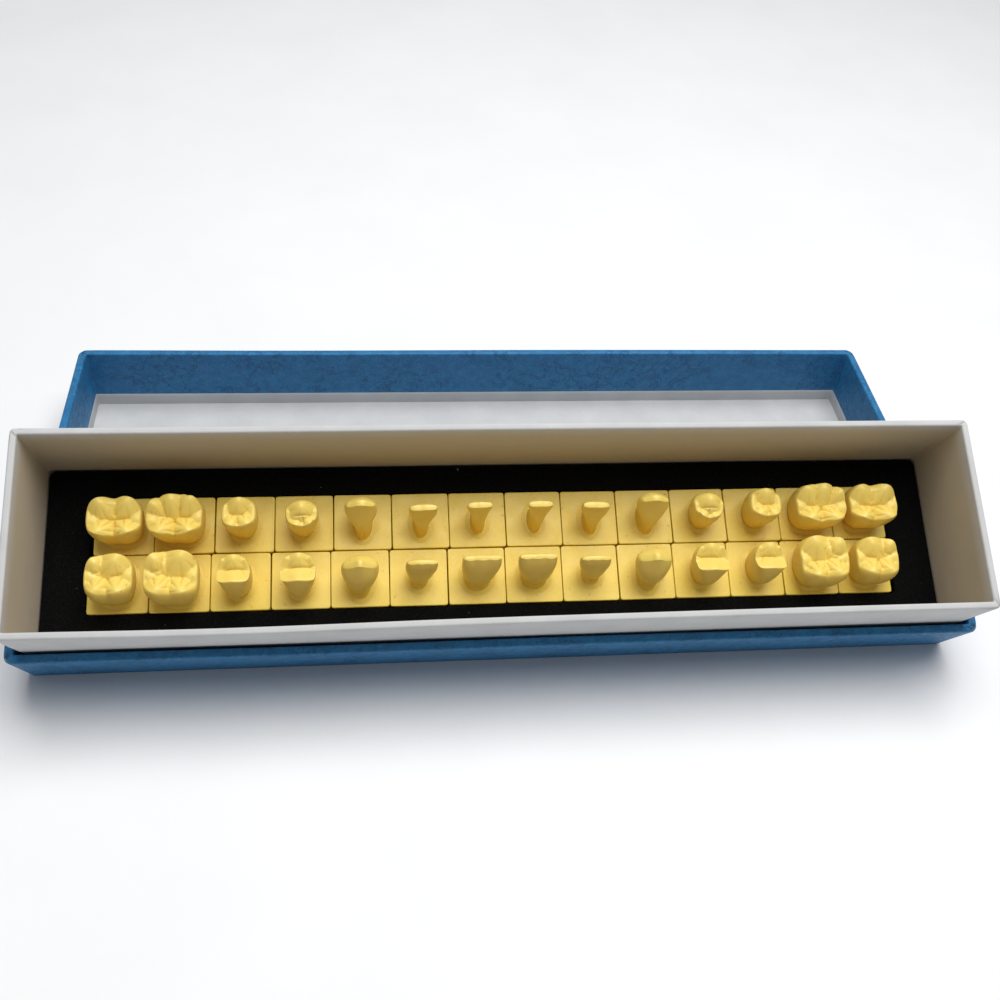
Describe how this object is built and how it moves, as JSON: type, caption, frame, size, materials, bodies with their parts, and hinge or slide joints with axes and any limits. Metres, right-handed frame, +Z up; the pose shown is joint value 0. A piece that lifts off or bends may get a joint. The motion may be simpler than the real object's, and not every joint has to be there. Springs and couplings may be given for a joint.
{
  "type": "boxed tooth morphology study model set",
  "caption": "Enlarged tooth models on square blocks in a foam insert, in an open rigid paper-covered box that leans on its upturned lift-off lid.",
  "frame": {"origin": "bottom centre of the box around the whole arrangement, on the table", "axes": "+Z up from the table, +X along the box to the viewer's right, -Y towards the viewer; the box leans 26 degrees about X towards -Y"},
  "size_m": [0.3248, 0.1536, 0.0751],
  "materials": {
    "tooth_resin": "satin",
    "black_foam": "matte",
    "greyboard": "matte",
    "white_paper": "matte",
    "blue_leatherette": "satin"
  },
  "bodies": {
    "lid": {"lid_board": "greyboard", "lid_face_sheet": "blue_leatherette", "lid_side_wrap": "blue_leatherette", "lid_liner": "white_paper"},
    "box": {"base_board": "greyboard", "base_face_sheet": "blue_leatherette", "base_side_wrap": "blue_leatherette", "neck_board": "greyboard", "neck_wrap": "white_paper", "foam_pad": "black_foam", "foam_insert": "black_foam"},
    "upper_right_central_incisor": {"upper_right_central_incisor": "tooth_resin"},
    "upper_right_lateral_incisor": {"upper_right_lateral_incisor": "tooth_resin"},
    "upper_right_canine": {"upper_right_canine": "tooth_resin"},
    "upper_right_first_premolar": {"upper_right_first_premolar": "tooth_resin"},
    "upper_right_second_premolar": {"upper_right_second_premolar": "tooth_resin"},
    "upper_right_first_molar": {"upper_right_first_molar": "tooth_resin"},
    "upper_right_second_molar": {"upper_right_second_molar": "tooth_resin"},
    "upper_left_central_incisor": {"upper_left_central_incisor": "tooth_resin"},
    "upper_left_lateral_incisor": {"upper_left_lateral_incisor": "tooth_resin"},
    "upper_left_canine": {"upper_left_canine": "tooth_resin"},
    "upper_left_first_premolar": {"upper_left_first_premolar": "tooth_resin"},
    "upper_left_second_premolar": {"upper_left_second_premolar": "tooth_resin"},
    "upper_left_first_molar": {"upper_left_first_molar": "tooth_resin"},
    "upper_left_second_molar": {"upper_left_second_molar": "tooth_resin"},
    "lower_right_central_incisor": {"lower_right_central_incisor": "tooth_resin"},
    "lower_right_lateral_incisor": {"lower_right_lateral_incisor": "tooth_resin"},
    "lower_right_canine": {"lower_right_canine": "tooth_resin"},
    "lower_right_first_premolar": {"lower_right_first_premolar": "tooth_resin"},
    "lower_right_second_premolar": {"lower_right_second_premolar": "tooth_resin"},
    "lower_right_first_molar": {"lower_right_first_molar": "tooth_resin"},
    "lower_right_second_molar": {"lower_right_second_molar": "tooth_resin"},
    "lower_left_central_incisor": {"lower_left_central_incisor": "tooth_resin"},
    "lower_left_lateral_incisor": {"lower_left_lateral_incisor": "tooth_resin"},
    "lower_left_canine": {"lower_left_canine": "tooth_resin"},
    "lower_left_first_premolar": {"lower_left_first_premolar": "tooth_resin"},
    "lower_left_second_premolar": {"lower_left_second_premolar": "tooth_resin"},
    "lower_left_first_molar": {"lower_left_first_molar": "tooth_resin"},
    "lower_left_second_molar": {"lower_left_second_molar": "tooth_resin"}
  },
  "joints": [
    {"name": "box_lift_off", "type": "slide", "parent": "lid", "child": "box", "axis": [0, 0, 1], "range_m": [0, 0.06]},
    {"name": "upper_right_central_incisor_lift_out", "type": "slide", "parent": "box", "child": "upper_right_central_incisor", "axis": [0, -0.4384, 0.8988], "range_m": [0, 0.048]},
    {"name": "upper_right_lateral_incisor_lift_out", "type": "slide", "parent": "box", "child": "upper_right_lateral_incisor", "axis": [0, -0.4384, 0.8988], "range_m": [0, 0.048]},
    {"name": "upper_right_canine_lift_out", "type": "slide", "parent": "box", "child": "upper_right_canine", "axis": [0, -0.4384, 0.8988], "range_m": [0, 0.048]},
    {"name": "upper_right_first_premolar_lift_out", "type": "slide", "parent": "box", "child": "upper_right_first_premolar", "axis": [0, -0.4384, 0.8988], "range_m": [0, 0.048]},
    {"name": "upper_right_second_premolar_lift_out", "type": "slide", "parent": "box", "child": "upper_right_second_premolar", "axis": [0, -0.4384, 0.8988], "range_m": [0, 0.048]},
    {"name": "upper_right_first_molar_lift_out", "type": "slide", "parent": "box", "child": "upper_right_first_molar", "axis": [0, -0.4384, 0.8988], "range_m": [0, 0.048]},
    {"name": "upper_right_second_molar_lift_out", "type": "slide", "parent": "box", "child": "upper_right_second_molar", "axis": [0, -0.4384, 0.8988], "range_m": [0, 0.048]},
    {"name": "upper_left_central_incisor_lift_out", "type": "slide", "parent": "box", "child": "upper_left_central_incisor", "axis": [0, -0.4384, 0.8988], "range_m": [0, 0.048]},
    {"name": "upper_left_lateral_incisor_lift_out", "type": "slide", "parent": "box", "child": "upper_left_lateral_incisor", "axis": [0, -0.4384, 0.8988], "range_m": [0, 0.048]},
    {"name": "upper_left_canine_lift_out", "type": "slide", "parent": "box", "child": "upper_left_canine", "axis": [0, -0.4384, 0.8988], "range_m": [0, 0.048]},
    {"name": "upper_left_first_premolar_lift_out", "type": "slide", "parent": "box", "child": "upper_left_first_premolar", "axis": [0, -0.4384, 0.8988], "range_m": [0, 0.048]},
    {"name": "upper_left_second_premolar_lift_out", "type": "slide", "parent": "box", "child": "upper_left_second_premolar", "axis": [0, -0.4384, 0.8988], "range_m": [0, 0.048]},
    {"name": "upper_left_first_molar_lift_out", "type": "slide", "parent": "box", "child": "upper_left_first_molar", "axis": [0, -0.4384, 0.8988], "range_m": [0, 0.048]},
    {"name": "upper_left_second_molar_lift_out", "type": "slide", "parent": "box", "child": "upper_left_second_molar", "axis": [0, -0.4384, 0.8988], "range_m": [0, 0.048]},
    {"name": "lower_right_central_incisor_lift_out", "type": "slide", "parent": "box", "child": "lower_right_central_incisor", "axis": [0, -0.4384, 0.8988], "range_m": [0, 0.048]},
    {"name": "lower_right_lateral_incisor_lift_out", "type": "slide", "parent": "box", "child": "lower_right_lateral_incisor", "axis": [0, -0.4384, 0.8988], "range_m": [0, 0.048]},
    {"name": "lower_right_canine_lift_out", "type": "slide", "parent": "box", "child": "lower_right_canine", "axis": [0, -0.4384, 0.8988], "range_m": [0, 0.048]},
    {"name": "lower_right_first_premolar_lift_out", "type": "slide", "parent": "box", "child": "lower_right_first_premolar", "axis": [0, -0.4384, 0.8988], "range_m": [0, 0.048]},
    {"name": "lower_right_second_premolar_lift_out", "type": "slide", "parent": "box", "child": "lower_right_second_premolar", "axis": [0, -0.4384, 0.8988], "range_m": [0, 0.048]},
    {"name": "lower_right_first_molar_lift_out", "type": "slide", "parent": "box", "child": "lower_right_first_molar", "axis": [0, -0.4384, 0.8988], "range_m": [0, 0.048]},
    {"name": "lower_right_second_molar_lift_out", "type": "slide", "parent": "box", "child": "lower_right_second_molar", "axis": [0, -0.4384, 0.8988], "range_m": [0, 0.048]},
    {"name": "lower_left_central_incisor_lift_out", "type": "slide", "parent": "box", "child": "lower_left_central_incisor", "axis": [0, -0.4384, 0.8988], "range_m": [0, 0.048]},
    {"name": "lower_left_lateral_incisor_lift_out", "type": "slide", "parent": "box", "child": "lower_left_lateral_incisor", "axis": [0, -0.4384, 0.8988], "range_m": [0, 0.048]},
    {"name": "lower_left_canine_lift_out", "type": "slide", "parent": "box", "child": "lower_left_canine", "axis": [0, -0.4384, 0.8988], "range_m": [0, 0.048]},
    {"name": "lower_left_first_premolar_lift_out", "type": "slide", "parent": "box", "child": "lower_left_first_premolar", "axis": [0, -0.4384, 0.8988], "range_m": [0, 0.048]},
    {"name": "lower_left_second_premolar_lift_out", "type": "slide", "parent": "box", "child": "lower_left_second_premolar", "axis": [0, -0.4384, 0.8988], "range_m": [0, 0.048]},
    {"name": "lower_left_first_molar_lift_out", "type": "slide", "parent": "box", "child": "lower_left_first_molar", "axis": [0, -0.4384, 0.8988], "range_m": [0, 0.048]},
    {"name": "lower_left_second_molar_lift_out", "type": "slide", "parent": "box", "child": "lower_left_second_molar", "axis": [0, -0.4384, 0.8988], "range_m": [0, 0.048]}
  ]
}
